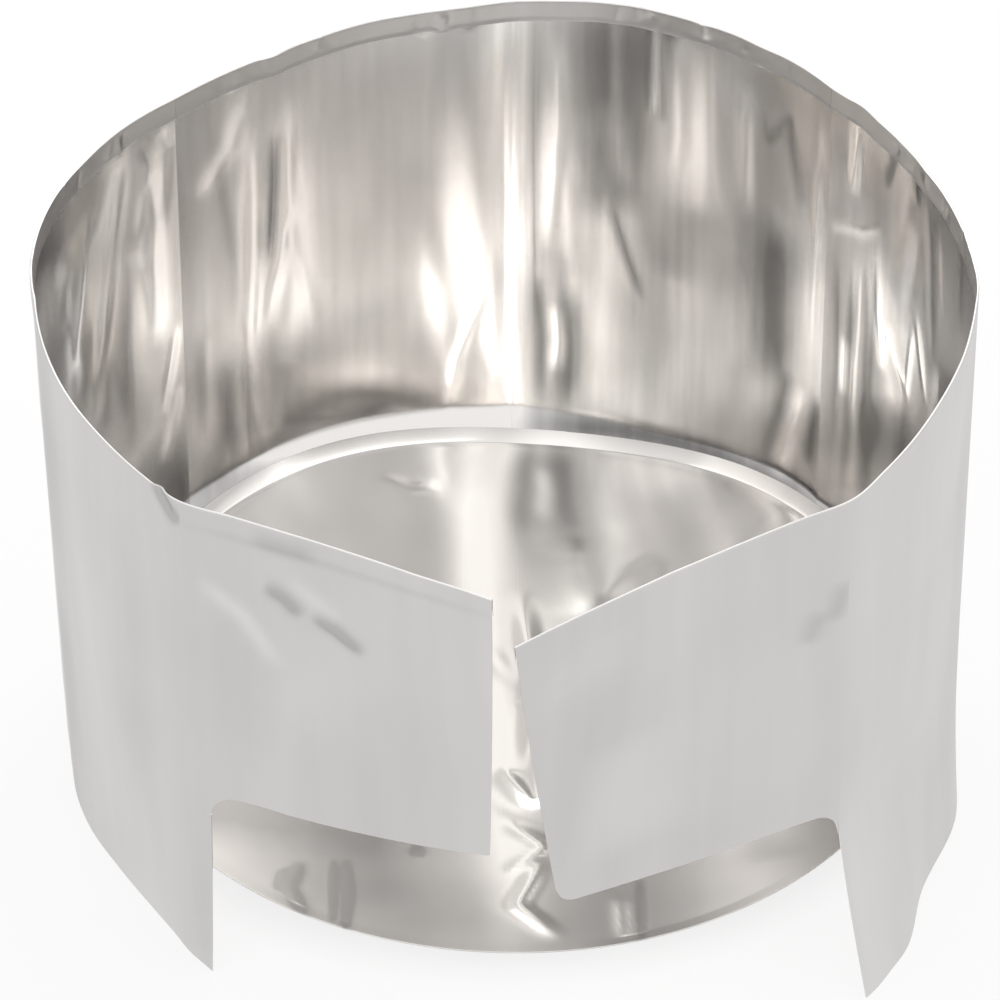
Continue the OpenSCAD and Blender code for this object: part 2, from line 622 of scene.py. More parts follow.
@dataclass(frozen=True)
class FoldLine:
    """An upright fold: its spot, half its turn, how far its bend goes, its place along the strip."""

    spot: Array
    turn: float
    reach: float
    place: float

    def bulge(self, distance: Array) -> Array:
        """How far the foil bulges beside the fold, so that both panels meet at half the fold's turn.

        Args:
            distance: Distance from the fold.

        Returns:
            The slope of half the turn times distance times (1 - distance / reach) squared.
        """
        return math.tan(self.turn) * distance * np.clip(1 - distance / self.reach, 0, 1) ** 2


def smooth_path(corners: Sequence[Point], share: Array) -> Array:
    """A smooth curve through corners: cubic pieces whose slope at a corner joins its two neighbours.

    Args:
        corners: The corners, in millimetres.
        share: 0 at the first corner and 1 at the last, by the straight distance between corners.

    Returns:
        The points in metres, (n, 2).
    """
    spots = np.array(corners) * MM
    knots = np.concatenate([[0], np.cumsum(np.linalg.norm(np.diff(spots, axis=0), axis=1))])
    slopes = np.gradient(spots, knots, axis=0)
    place = np.clip(share, 0, 1) * knots[-1]
    k = np.clip(np.searchsorted(knots, place, side="right") - 1, 0, len(knots) - 2)
    span = (knots[k + 1] - knots[k])[:, None]
    t = (place - knots[k])[:, None] / span
    rise = t * t * (3 - 2 * t)
    return (
        spots[k] * (1 - rise)
        + spots[k + 1] * rise
        + slopes[k] * span * t * (1 - t) ** 2
        - slopes[k + 1] * span * t * t * (1 - t)
    )


def dress(piece: bpy.types.Object, node: str) -> bpy.types.Object:
    """Puts a piece on the body of the node that it stands for, and hides the node's imported part.

    Args:
        piece: The piece.
        node: The node, whose body has the same name.

    Returns:
        The piece.
    """
    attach(piece, node)
    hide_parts(node)
    return piece


@dataclass(frozen=True)
class Ripple:
    """A bump or a dip in the top edge, in millimetres."""

    at: float
    rise: float
    width: float


@dataclass(frozen=True)
class WallPanel:
    """A panel of the wall between two folds, bent to an arc and creased by hand.

    Pairs are given for the first and the last fold, or for the top and the foot of the leg. What
    the creases and the ripples fade over is in millimetres, as they are.
    """

    node: str
    bulge: float
    folds: Folds = ()
    ripples: Sequence[Ripple] = ()
    ripple_depth: float = 40.0
    foot: Sequence[Point] = ()
    foot_reach: Point = (48 * MM, 48 * MM)
    foot_power: float = 1.2
    leg: Point = (0.0, 0.0)
    leg_angle: Point = (0.0, 0.0)
    leg_top: float = 0.0
    tongue: float = 0.0
    tongue_top: float = 0.3 * MM
    tongue_tuck: float = 0.35 * MM
    columns: int = 170
    leg_columns: int = 9
    tongue_columns: int = 6
    rows: int = 124
    fold_fade: float = 5.0
    ground_fade: Point = (6.0, 30.0)
    ground_relief: float = 0.2
    inner_painted_light: float = 0.0
    outer_share: float = 0.3
    foil: Foil = Foil()

    def sheet(self, bow: Bow, first: FoldLine, last: FoldLine) -> Sheet:
        """The panel's foil as a grid.

        The plan is the arc between the folds, which bends over to the foot's own curve below the
        foot's reach, by (1 - height / reach) to the foot's power. Each row of the section stands on
        it, and the soft folds and the relief of the creases move it along the arc's normal. The
        relief fades to nothing at the folds, and most of it near the ground, where the reflector's
        lip is close. A bell curve for each ripple lifts or lowers the top edge.

        Args:
            bow: The arc between the two folds.
            first: The fold at the arc's start.
            last: The fold at the arc's end.

        Returns:
            The sheet.
        """
        foil = self.foil
        share = np.linspace(0, 1, self.columns)
        hem_h, hem_in = foil.hem_section()
        height = np.concatenate([np.linspace(0, foil.bend_h, self.rows), hem_h])
        inwards = np.concatenate([np.zeros(self.rows), hem_in])
        plan, normal, _ = bow.at(share)
        width = bow.length
        along, up = np.meshgrid(share * width / MM, height / MM, indexing="ij")
        out, painted_light_and_tone = relief(self.folds, along, up)
        fade = ease(0, self.fold_fade, along) * ease(0, self.fold_fade, width / MM - along)
        out *= fade * (self.ground_relief + (1 - self.ground_relief) * ease(*self.ground_fade, up))
        bend = first.bulge(share * width) + last.bulge((1 - share) * width)
        offset = out * MM + bend[:, None] - inwards
        points = np.empty((*along.shape, 3))
        points[..., :2] = plan[:, None] + normal[:, None] * offset[..., None]
        if self.foot:
            shift = smooth_path(self.foot, share) - plan
            reach = self.foot_reach[0] + (self.foot_reach[1] - self.foot_reach[0]) * share
            drop = np.clip(1 - height / reach[:, None], 0, 1) ** self.foot_power
            points[..., :2] += shift[:, None] * drop[..., None]
        rise = sum(r.rise * np.exp(-(((along - r.at) / r.width) ** 2)) for r in self.ripples)
        lift = ease(foil.height / MM - self.ripple_depth, foil.height / MM, up) * fade
        points[..., 2] = height + rise * lift * MM
        places = np.stack([first.place + along * MM, up * MM, np.zeros_like(up)], -1)
        return Sheet(points, places, painted_light_and_tone)

    def with_leg(self, sheet: Sheet) -> Sheet:
        """Adds columns for the leg that stands on past the first fold, beside the port.

        The leg goes straight out from the fold. Its width and its direction change evenly towards
        the ground.

        Args:
            sheet: The panel's sheet.

        Returns:
            The wider sheet.
        """
        fold = sheet.points[0]
        share = np.linspace(1, 0, self.leg_columns + 1)[:-1, None]
        top_w, foot_w = self.leg
        top_angle, foot_angle = self.leg_angle
        rise = np.clip(fold[:, 2] / self.leg_top, 0, 1)
        wide = foot_w + (top_w - foot_w) * rise
        angle = np.radians(foot_angle + (top_angle - foot_angle) * rise)
        points = np.repeat(fold[None], self.leg_columns, axis=0)
        points[..., 0] += share * wide * np.cos(angle)
        points[..., 1] += share * wide * np.sin(angle)
        places = np.repeat(sheet.places[:1], self.leg_columns, axis=0)
        places[..., 0] -= share * wide
        painted_light_and_tone = np.repeat(sheet.painted_light_and_tone[:1], self.leg_columns, axis=0)
        return Sheet(points, places, painted_light_and_tone).beside(sheet)

    def with_tongue(self, sheet: Sheet) -> Sheet:
        """Adds columns past the last fold, which keep the foil whole when a fold that leans in opens.

        The tongue goes straight on from the panel, and within a third of its width it is tucked
        inside its neighbour. Its width grows evenly towards the ground, as the lean does.

        Args:
            sheet: The panel's sheet.

        Returns:
            The wider sheet.
        """
        edge = sheet.points[-1]
        ahead = (edge - sheet.points[-2]) * (1, 1, 0)
        ahead /= np.linalg.norm(ahead, axis=1, keepdims=True)
        inside = np.stack([ahead[:, 1], -ahead[:, 0], ahead[:, 2]], -1)
        share = np.linspace(0, 1, self.tongue_columns + 1)[1:, None]
        wide = self.tongue_top + self.tongue * np.clip(1 - edge[:, 2] / self.foil.height, 0, 1)
        past = (share * wide)[..., None]
        tuck = self.tongue_tuck * np.clip(3 * share, 0, 1)[..., None]
        places = np.repeat(sheet.places[-1:], self.tongue_columns, axis=0)
        places[..., 0] += past[..., 0]
        painted_light_and_tone = np.repeat(sheet.painted_light_and_tone[-1:], self.tongue_columns, axis=0)
        return sheet.beside(Sheet(edge + past * ahead + tuck * inside, places, painted_light_and_tone))

    def build(
        self, bow: Bow, first: FoldLine, last: FoldLine, materials: Materials
    ) -> bpy.types.Object:
        """Builds the panel's shell and puts it on its body.

        Args:
            bow: The arc between the two folds.
            first: The fold at the arc's start.
            last: The fold at the arc's end.
            materials: The satin and the bright material.

        Returns:
            The piece.
        """
        sheet = self.sheet(bow, first, last)
        if self.leg_top:
            sheet = self.with_leg(sheet)
        if self.tongue:
            sheet = self.with_tongue(sheet)
        keep = sheet.cells()
        if self.leg_top:
            keep[: self.leg_columns] = sheet.points[0, 1:, 2] < self.leg_top
        if self.tongue:
            keep[-self.tongue_columns :, self.rows - 1 :] = False
        shell = sheet.shell(self.foil.thickness, 1, keep, self.inner_painted_light, self.outer_share)
        return dress(shell.piece(self.node + "_foil", materials), self.node)


@dataclass(frozen=True)
class Flap:
    """An end of the strip over the port, flat but for its twist, its creases and its cut edges.

    The edge is where the middle of the free edge stands before the twist, in millimetres, and the
    slant is in degrees.
    """

    node: str
    edge: Point
    hand: int
    corner_at: float
    slant: float
    top_out: float
    bottom_out: float
    edge_lift: Point
    end_r: float
    folds: Folds = ()
    columns: int = 150
    rows: int = 84
    fold_fade: float = 5.0
    # The inner face is painted lighter, so that the walls mirror more light from it
    inner_painted_light: float = 0.9
    outer_share: float = 1.0
    foil: Foil = Foil()

    def sheet(self, fold: FoldLine) -> Sheet:
        """The flap's foil as a grid, from the fold to the free edge.

        The lower edge follows a quarter circle from the port's side up to the port's height, runs on
        with a slight slope and turns up in another quarter circle at the free edge. Rows run evenly
        from it to the top edge. Columns crowd towards the fold, by (q + q^2) / 2, and lean with the
        slanted free edge, and the twist grows with the square of the distance from the fold.

        Args:
            fold: The fold that the flap hangs on.

        Returns:
            The sheet.
        """
        foil = self.foil
        edge = np.array(self.edge) * MM
        length = math.dist(edge, fold.spot)
        line = (edge - fold.spot) / length
        out = self.hand * np.array([-line[1], line[0]])
        q = np.linspace(0, 1, self.columns)
        flat = length * (q + q * q) / 2
        past = np.clip(flat - self.corner_at, 0, foil.port_corner_r)
        lower = foil.corner_h + np.sqrt(foil.port_corner_r**2 - (foil.port_corner_r - past) ** 2)
        lower += self.edge_lift[0] + (self.edge_lift[1] - self.edge_lift[0]) * flat / length
        beyond = np.clip(flat - length + self.end_r, 0, self.end_r)
        lower += self.end_r - np.sqrt(self.end_r**2 - beyond**2)
        share = np.linspace(0, 1, self.rows)
        wall = lower[:, None] + share * (foil.bend_h - lower[:, None])
        hem_h, hem_in = foil.hem_section()
        level = np.concatenate([wall, np.broadcast_to(hem_h, (self.columns, len(hem_h)))], 1)
        inwards = np.concatenate([np.zeros(self.rows), hem_in])
        mid_h = (foil.height + foil.port_h) / 2
        lean = math.tan(math.radians(self.slant)) * (level - mid_h)
        along = flat[:, None] + (flat / length)[:, None] * lean
        dent, painted_light_and_tone = relief(self.folds, along / MM, level / MM)
        fade = ease(0, self.fold_fade, along / MM)
        rise = (level - foil.port_h) / (foil.height - foil.port_h)
        twist = (self.bottom_out + (self.top_out - self.bottom_out) * rise) * (along / length) ** 2
        offset = dent * fade * MM + twist + fold.bulge(along) - inwards
        points = np.empty((*level.shape, 3))
        points[..., :2] = fold.spot + line * along[..., None] + out * offset[..., None]
        points[..., 2] = level
        places = np.stack([fold.place + self.hand * along, level, np.zeros_like(level)], -1)
        return Sheet(points, places, painted_light_and_tone)

    def build(self, fold: FoldLine, materials: Materials) -> bpy.types.Object:
        """Builds the flap's shell and puts it on its body.

        Args:
            fold: The fold that the flap hangs on.
            materials: The satin and the bright material.

        Returns:
            The piece.
        """
        sheet = self.sheet(fold)
        keep = sheet.cells()
        shell = sheet.shell(self.foil.thickness, self.hand, keep, self.inner_painted_light, self.outer_share)
        return dress(shell.piece(self.node + "_foil", materials), self.node)


@dataclass(frozen=True)
class Reach:
    """A stretch of the dish's edge that reaches out, or in: its share, its turn and how narrow it is."""

    share: float
    turn: float
    narrow: float


@dataclass(frozen=True)
class HeatReflector:
    """The round foil dish: a floor that sags like a shallow bowl, and a flared rim with a beaded lip.

    It lies a little tilted: its front rests on the ground, and its back leans up the wall. Turns are
    radians from the front, positive to the right, and dents are in millimetres.
    """

    node: str = "heat_reflector"
    centre: Point = (3.2 * MM, 12 * MM)
    first_r: float = 3 * MM
    floor_r: float = 98.6 * MM
    lip_r: float = 102 * MM
    stretch: float = 1.05
    thickness: float = 0.3 * MM
    sag: float = 7.7 * MM
    lip_h: float = 2.3 * MM
    rim_knee: float = 0.12
    rim_fade: Point = (-0.35, 0.5)
    # How much the rim is painted darker towards the back
    rim_painted_shade: float = 0.6
    front_rim: float = 0.04
    tilt_back: float = 0.033
    tilt_side: float = -0.009
    back_wave: float = 2.5 * MM
    wave_count: int = 4
    wave_turn: float = 0.12
    reaches: tuple[Reach, ...] = (Reach(0.042, 2.74, 17.0), Reach(-0.03, -2.69, 10.0))
    reach_drop: float = 0.8
    deepest_dent: float = -0.2
    dent_fade: float = 0.35
    floor_rings: int = 56
    rim_rings: int = 30
    spokes: int = 480
    folds: Folds = ()

    def profile(self) -> tuple[Array, Array, Array]:
        """The closed section without its rim's rise, from the middle of the upper face to that below.

        Returns:
            Radius, height over the underside of the floor's middle, and how far up the rim each point
            is, from 0 on the floor to 1 at the lip. The height grows with the square of the radius,
            and half a circle closes the lip.
        """
        t = self.thickness
        floor = np.linspace(self.first_r, self.floor_r, self.floor_rings)
        out = np.concatenate([floor, np.linspace(self.floor_r, self.lip_r, self.rim_rings)[1:]])
        bowl = self.sag * (out / self.floor_r) ** 2
        turn = half_turn()
        radius = np.concatenate([[0], out, self.lip_r + t / 2 * np.sin(turn), out[::-1], [0]])
        bead = bowl[-1] + t / 2 + t / 2 * np.cos(turn)
        height = np.concatenate([[t], bowl + t, bead, bowl[::-1], [0]])
        up_rim = np.clip((radius - self.floor_r) / (self.lip_r - self.floor_r), 0, 1)
        return radius, height, up_rim

    def lie(self, x: Array, y: Array) -> Array:
        """How far the foil is lifted: a tilt, a slow wave along the back, and a rim that fades to the front.

        The rim rises as u^2 / (u + rim_knee) of the share u of its width, and the wave grows with
        the third power of the distance from the middle. Where the back reaches out it lies lower.

        Args:
            x: Distance to the right of the dish's middle.
            y: Distance behind the dish's middle.

        Returns:
            The lift.
        """
        turn = np.arctan2(x, -y)
        far = np.hypot(x, y) / self.lip_r
        swing = np.cos(self.wave_count * (turn + self.wave_turn))
        wave = -self.back_wave * swing * (1 - np.cos(turn)) / 2
        u = np.clip((far * self.lip_r - self.floor_r) / (self.lip_r - self.floor_r), 0, 1)
        full = self.lip_h * (1 + self.rim_knee) * u**2 / (u + self.rim_knee)
        rim = full * (self.front_rim + (1 - self.front_rim) * ease(*self.rim_fade, -np.cos(turn)))
        tilt = self.tilt_back * y + self.tilt_side * x
        return tilt + wave * far**3 + rim - self.reach_drop * self.lip_r * self.reach(x, y)

    def reach(self, x: Array, y: Array) -> Array:
        """How much further out the foil reaches: a bell curve of the turn for each of its reaches.

        Args:
            x: Distance to the right of the dish's middle.
            y: Distance behind the dish's middle.

        Returns:
            The share that is added to the distance from the middle, growing with its fourth power.
        """
        turn = np.arctan2(x, -y)
        bells = (r.share * np.exp(r.narrow * (np.cos(turn - r.turn) - 1)) for r in self.reaches)
        return sum(bells) * (np.hypot(x, y) / self.lip_r) ** 4

    def shell(self) -> Shell:
        """Turns the section round the dish's middle and lays it on the ground.

        Returns:
            The closed shell, with one point at each pole.
        """
        radius, height, up_rim = self.profile()
        rings = len(radius) - 2
        angle = np.arange(self.spokes) * (2 * math.pi / self.spokes)
        x = np.concatenate([[0], np.outer(radius[1:-1], np.sin(angle)).ravel(), [0]])
        y = np.concatenate([[0], -np.outer(radius[1:-1], np.cos(angle)).ravel(), [0]])
        each = np.concatenate([[1], np.full(rings, self.spokes), [1]])
        dent, painted_light_and_tone = relief(self.folds, x / MM, y / MM)
        rim = np.repeat(up_rim, each)
        flat = 1 - ease(0.0, self.dent_fade, rim)
        lift = self.lie(x, y) + np.maximum(dent, self.deepest_dent) * flat * MM
        z = np.repeat(height, each) + lift
        out = 1 + self.reach(x, y)
        across = self.stretch * out * x + self.centre[0]
        points = np.stack([across, out * y + self.centre[1], z - z.min()], -1)
        ring = 1 + np.arange(rings * self.spokes).reshape(rings, self.spokes)
        beside = np.roll(ring, -1, axis=1)
        quads = np.stack([ring[:-1], ring[1:], beside[1:], beside[:-1]], -1).reshape(-1, 4)
        first = np.stack([np.zeros(self.spokes, dtype=int), ring[0], beside[0]], -1)
        last = np.stack([np.full(self.spokes, len(x) - 1), beside[-1], ring[-1]], -1)
        faces = quads.tolist() + first.tolist() + last.tolist()
        finishes = np.full(len(faces), Face.BRIGHT.value)
        places = np.stack([x, y, np.zeros_like(x)], -1)
        # Painted shade: the rim is darker towards the back, which dims its mirror of the white surroundings
        painted_light_and_tone -= self.rim_painted_shade * rim * ease(*self.rim_fade, y / self.lip_r)
        return Shell(points, faces, finishes, places, painted_light_and_tone)

    def build(self, materials: Materials) -> bpy.types.Object:
        """Builds the dish and puts it on its body."""
        piece = self.shell().piece(self.node + "_foil", materials)
        return dress(piece, self.node)


SHARP, PLEAT = Form.SHARP, Form.PLEAT


def hem_nicks(count: int, panel_w: float, seed: int, clear: float = 6.0) -> Crumple:
    """Small pinches along a panel's hem, clear of its folds."""
    return Crumple(
        count, along=(clear, panel_w - clear), up=(146, 149), length=(3, 8), width=(0.5, 1.3),
        height=0.22, lean=25, seed=seed, painted_light_and_tone=0.5, form=SHARP,
    )


# The sheens paint light and shade: a dark mark in the dent at the top corner, and darker foil towards the
# left edge that dims its grazing reflection
LEFT_FRONT_FOLDS: Folds = (
    Crease(((9.5, 152), (0, 142.5)), -1.0, 1.3, -3.6),
    Crease(((20, 148), (24, 20)), 0.4, 9.0),
    Crease(((80, 220), (80, -70)), 0.0, 12.0, -1.4),
    Crease(((30, 70), (20, -40)), 0.0, 14.0, 0.4),
    Crease(((55, 148), (50, 10)), -0.4, 10.0),
    Crumple(10, (10, 80), (20, 140), (50, 120), (5, 11), 0.14, 8, 51, 0.15),
)

# The sheens paint the wall's reflections: bright blotches and streaks where the foil mirrors light, and a
# dark band under the top edge
LEFT_SIDE_FOLDS: Folds = (
    Crease(((-10, 148), (20, 146), (52, 134)), 0.3, 5.0, -0.9),
    Crease(((40, 132), (49, 122), (44, 104)), -0.2, 3.8, 1.8),
    Crease(((60, 136), (59, 117), (54, 101), (48, 86)), 0.22, 3.6, 1.9),
    Crease(((77, 146), (70, 116), (66, 97), (58, 62)), -0.25, 2.8, 1.8),
    Crease(((86, 142), (86, 102), (86, 72)), 0.2, 3.0, 1.7),
    Crease(((83, 141), (86, 133), (83, 125)), 0.14, 1.2, -0.6, SHARP),
    Crease(((90, 143), (93, 135)), 0.14, 1.8, 1.4),
    Crease(((94, 80), (86, 50)), 0.18, 1.5, 1.5),
    Crease(((94, 60), (86, 34)), 0.18, 1.5, 1.4),
    Crease(((78, 46), (96, 14)), 0.3, 8.0, -1.0),
    Crease(((78, 110), (76, 80), (78, 40)), 0.4, 4.0, -0.6),
    Crease(((50, 180), (62, 110), (76, 10)), 0.0, 18.0, 0.6),
    Crumple(22, (6, 90), (15, 135), (25, 75), (2, 6), 0.12, 10, 61, 0.22),
    hem_nicks(12, 95, 62),
)

# The sheens paint reflections: bright streaks, dark strokes, a white stripe beside the back fold, and a
# light band low down that stands in for the rim's mirror image
BACK_LEFT_FOLDS: Folds = (
    Crease(((24, 144), (18, 126), (6, 114)), -0.18, 2.4, 1.2),
    Crease(((26, 134), (24, 90), (21, 42)), -0.25, 2.6, 1.3),
    Crease(((32, 128), (31.5, 108), (29.5, 78)), 0.3, 1.2, -1.1, SHARP),
    Crease(((37, 140), (35, 98), (31, 78), (26, 56)), -0.22, 2.2, 1.3),
    Crease(((39, 122), (38, 86), (34, 46)), -0.1, 3.2, 0.9),
    Crease(((20, 70), (21, 20)), 0.14, 1.2, -0.5, SHARP),
    Crease(((8, 72), (8, 24)), 0.2, 3.0, 0.4),
    Crease(((13, 60), (13, 18)), 0.2, 3.0, -0.35),
    Crease(((32, 50), (33, 24)), 0.2, 3.0, -0.25),
    Crease(((56, 190), (56, -20)), 0.5, 15.0, 0.3),
    Crease(((62, 66), (64, 20)), 0.16, 12.0, -0.2),
    Crease(((85, 180), (88, 100), (93, 30)), -0.4, 6.0, -0.1),
    Crease(((98, 190), (97, 80), (97, -40)), 0.0, 4.0, 1.4),
    Crease(((92, 60), (84, 34), (80, 12)), -0.2, 1.8, 1.2),
    Crease(((6, 24), (22, 24), (45, 19), (67, 16), (114, 9)), 0.0, 3.4, 2.2),
    Crumple(16, (4, 40), (20, 140), (25, 80), (2, 5), 0.1, 7, 71, 0.22),
    Crumple(14, (40, 95), (15, 140), (40, 110), (3, 8), 0.08, 6, 72, 0.15),
    hem_nicks(12, 99, 73),
)

# The sheens paint reflections and shade: a white stripe by the back fold, dark blocks and streaks, and a
# darker band along the foot where the gap under the lip would mirror the floor
BACK_RIGHT_FOLDS: Folds = (
    Crease(((1.5, 190), (1, 80), (1.5, -40)), 0.0, 2.6, 1.5),
    Crease(((6.5, 150), (6, 100), (6.5, 40)), 0.2, 1.4, -0.7, SHARP),
    Crease(((11, 142), (12, 110), (10, 66)), -0.22, 2.4, 0.8),
    Crease(((21, 160), (22, 110), (24, 76)), 0.35, 4.5, -0.9),
    Crease(((32, 160), (32, 110), (30, 80)), 0.3, 4.5, -0.9),
    Crease(((27, 156), (28, 112)), 0.0, 1.0, 0.35),
    Crease(((38.5, 148), (38.5, 114)), -0.25, 1.2, 0.1, PLEAT),
    Crease(((44, 150), (45, 112), (44, 94)), -0.3, 3.4, 0.55),
    Crease(((54, 150), (55, 100), (54, 84)), 0.3, 5.0, 0.7),
    Crease(((65, 138), (66, 92)), -0.2, 2.6, 0.8),
    Crease(((70, 134), (73, 122), (80, 132), (86, 102)), 0.14, 1.2, -0.5, SHARP),
    Crease(((26, 87), (31, 68), (36, 54)), 0.14, 1.0, -0.5, SHARP),
    Crease(((78, 102), (77, 70), (79, 40)), 0.4, 5.0, -1.1),
    Crease(((91, 142), (92, 100), (91, 56)), -0.15, 2.0, 0.6),
    Crease(((90, 50), (85, 30), (79, 10)), -0.22, 2.0, 1.2),
    Crease(((84, 52), (78, 30), (73, 12)), 0.2, 1.8, -0.9),
    Crease(((95, 50), (90, 22)), 0.2, 2.0, -0.9),
    Crease(((7, 62), (9, 40), (8, 14)), 0.22, 3.0, -0.8),
    Crease(((16, 60), (17, 36), (16, 12)), 0.22, 2.4, -0.8),
    Crease(((12, 52), (13, 38), (12, 26)), -0.16, 1.4, 0.8),
    Crease(((25, 100), (28, 50), (30, 4)), 0.2, 12.0, -0.75),
    Crease(((-10, 8), (50, 9), (110, 10)), 0.0, 3.0, -0.9),
    Crumple(10, (4, 30), (20, 140), (30, 90), (2, 5), 0.1, 6, 81, 0.2),
    Crumple(14, (30, 92), (15, 140), (25, 90), (2, 7), 0.09, 8, 82, 0.16),
    hem_nicks(16, 96, 83),
)

# The sheens paint reflections and shade: bright streaks, a bright zigzag line, and a dark patch under it
RIGHT_SIDE_FOLDS: Folds = (
    Crease(((10.5, 148), (10, 134), (9, 120)), -0.2, 1.8, 1.4),
    Crease(((0, 106), (8, 110), (14, 112), (23, 119)), -0.16, 1.3, 0.7),
    Crease(((5, 101), (6, 60), (4, 28)), 0.2, 1.4, -0.6, SHARP),
    Crease(((14, 106), (14.5, 80), (13, 40)), -0.2, 1.6, 0.8),
    Crease(((11, 100), (11, 60), (10, 22)), 0.2, 1.4, -0.7, SHARP),
    Crease(((18, 108), (18, 70), (19, 18)), 0.22, 2.2, -0.7),
    Crease(((8.5, 76), (8.5, 54)), -0.14, 1.2, 1.4),
    Crease(((20, 118), (22, 92), (25, 77), (28, 88), (32, 82), (37, 76), (40, 104)), -0.16, 1.5, 1.2),
    Crease(((40, 104), (44, 92), (49, 78)), -0.14, 1.4, 0.7),
    Crease(((26, 68), (36, 52), (40, 40)), 0.3, 8.0, -1.0),
    Crease(((22, 62), (24, 24)), 0.22, 4.0, -0.6),
    Crease(((33, 130), (34, 96)), -0.2, 7.0, 0.1),
    Crease(((44, 143), (49, 110), (52, 94)), 0.2, 2.0, -0.4),
    Crease(((50, 141), (56, 106)), -0.2, 2.4, 0.4),
    Crease(((34, 150), (38, 136)), 0.16, 1.5, -0.8),
    Crease(((27, 148), (23, 131)), 0.16, 1.2, -0.9),
    Crease(((66, 148), (70, 120)), 0.2, 3.0, -0.4),
    Crumple(20, (4, 60), (20, 138), (25, 70), (2, 5), 0.12, 10, 91, 0.22),
    hem_nicks(16, 92, 92),
)

# The sheens paint shade and light: darker foil towards the right edge that dims its grazing reflection, and
# lighter foil on the leg
RIGHT_FRONT_FOLDS: Folds = (
    Crease(((30, 148), (28, 20)), -0.4, 10.0),
    Crease(((4, 220), (4, -70)), 0.0, 18.0, -1.0),
    Crease(((84, 70), (94, -60)), 0.0, 8.0, 0.6),
    Crease(((66, 148), (70, 10)), 0.4, 10.0),
    Crumple(10, (10, 80), (20, 140), (50, 120), (5, 11), 0.14, 8, 101, 0.15),
)

# The sheens paint light and shade: dark marks in the two dents, a bright diagonal line, a darker line and
# band under the hem, and lighter foil towards the free edge
LEFT_FLAP_FOLDS: Folds = (
    Crease(((21, 132.5), (27, 130), (32, 125)), 0.7, 1.7, -2.2),
    Crease(((33, 127), (40, 124), (48, 118)), 0.8, 1.4, -2.6),
    Crease(((27, 136), (42, 127)), -0.4, 1.8, 0.7),
    Crease(((3, 129), (16, 121), (26, 106)), -0.4, 1.8, 1.0),
    Crease(((-6, 144), (40, 144), (90, 144)), 0.14, 0.8, -0.6, SHARP),
    Crease(((17, 145.5), (37, 145.5)), 0.3, 1.8, -1.1),
    Crease(((14, 150), (16, 56)), 0.5, 8.0, -0.2),
    Crease(((55, 150), (52, 56)), -0.4, 12.0),
    Crease(((72, 220), (72, -20)), 0.0, 16.0, 0.35),
    Crumple(10, (8, 72), (65, 140), (30, 90), (4, 10), 0.16, 10, 111, 0.25),
)

# The sheens paint dark marks of shade in the small dents by the fold
RIGHT_FLAP_FOLDS: Folds = (
    Crease(((92, 127), (76, 132), (58, 138)), 0.5, 4.0, 0.25, PLEAT),
    Crease(((1, 127), (4, 114)), 0.5, 2.2, -1.0),
    Crease(((8, 121), (12, 110)), 0.5, 2.4, -0.9),
    Crease(((20, 150), (22, 56)), 0.4, 9.0, 0.2),
    Crumple(10, (8, 80), (65, 140), (40, 90), (4, 10), 0.16, 10, 121, 0.2),
)

# The sheens paint reflections and shade into the dish: a light stripe down the middle that mirrors the white
# stripe on the wall, lighter and darker stretches of floor, a darker ring at the front, a darker patch under
# the left flap, a darker left rim, bright lines on the wrinkles in front, and thin dark strokes
DISH_FOLDS: Folds = (
    Crease(((2, 44), (6, 4), (4, -30)), 0.5, 3.0, 0.3),
    Crease(((-11, 120), (-9, 30), (-2, -40), (2, -120)), 0.0, 4.5, 1.3),
    Crease(((14, 120), (36, 60), (60, -10)), 0.0, 20.0, 0.5),
    Crease(((40, 84), (50, 40)), 0.0, 5.0, -0.7),
    Crease(((-104, -4), (-82, -50), (-50, -76), (0, -92), (50, -76), (82, -50), (104, -4)), 0.0, 13.0, -0.6),
    Crease(((-100, -20), (-72, -44), (-46, -50), (-10, -52)), 0.0, 9.0, -0.8),
    Crease(((-3, -26), (6, -42)), 0.5, 1.8, 0.4, SHARP),
    Crease(((12, -24), (6, -42)), 0.5, 2.0, 0.4, SHARP),
    Crease(((-43.4, -64), (-43, -94)), 0.08, 0.6, -1.4),
    Crease(((-40.6, -64), (-39.5, -80), (-40.2, -98)), 0.08, 0.8, -1.5),
    Crease(((-51, -66), (-54, -78), (-49, -92)), 0.1, 1.3, -1.2),
    Crease(((-55, -70), (-57, -80)), 0.08, 0.9, -1.0),
    Crease(((-24, -58), (-22, -63)), 0.08, 1.2, -1.4),
    Crease(((31, -70), (30.6, -100)), 0.1, 0.7, -1.5),
    Crease(((26, -78), (27, -98)), 0.12, 1.8, 1.4),
    Crease(((-98, 10), (-88, 54), (-62, 84)), 0.0, 3.0, -0.7),
    Crease(((8, 120), (14, 60), (18, -10)), 0.0, 8.0, 1.6),
    Crease(((-3, -47), (8, -58), (-3, -70)), 0.4, 2.2, 0.9, SHARP),
    Crease(((8, -62), (1, -82), (12, -97)), 0.4, 2.4, 1.0),
    Crease(((-36, 82), (-27, 79), (-18, 80)), 0.4, 1.6, -0.25, SHARP),
    Crease(((60, 60), (72, 50)), 0.3, 9.0, 0.4),
    Crumple(26, (-70, 70), (-70, 80), (15, 60), (3, 9), 0.16, 30, 131, 0.12),
)


@dataclass(frozen=True)
class FoldPlan:
    """A fold of the strip: the joint it turns on, how far its bend goes, and its pinch in degrees."""

    joint: str
    reach: float
    pinch: float = 0.0


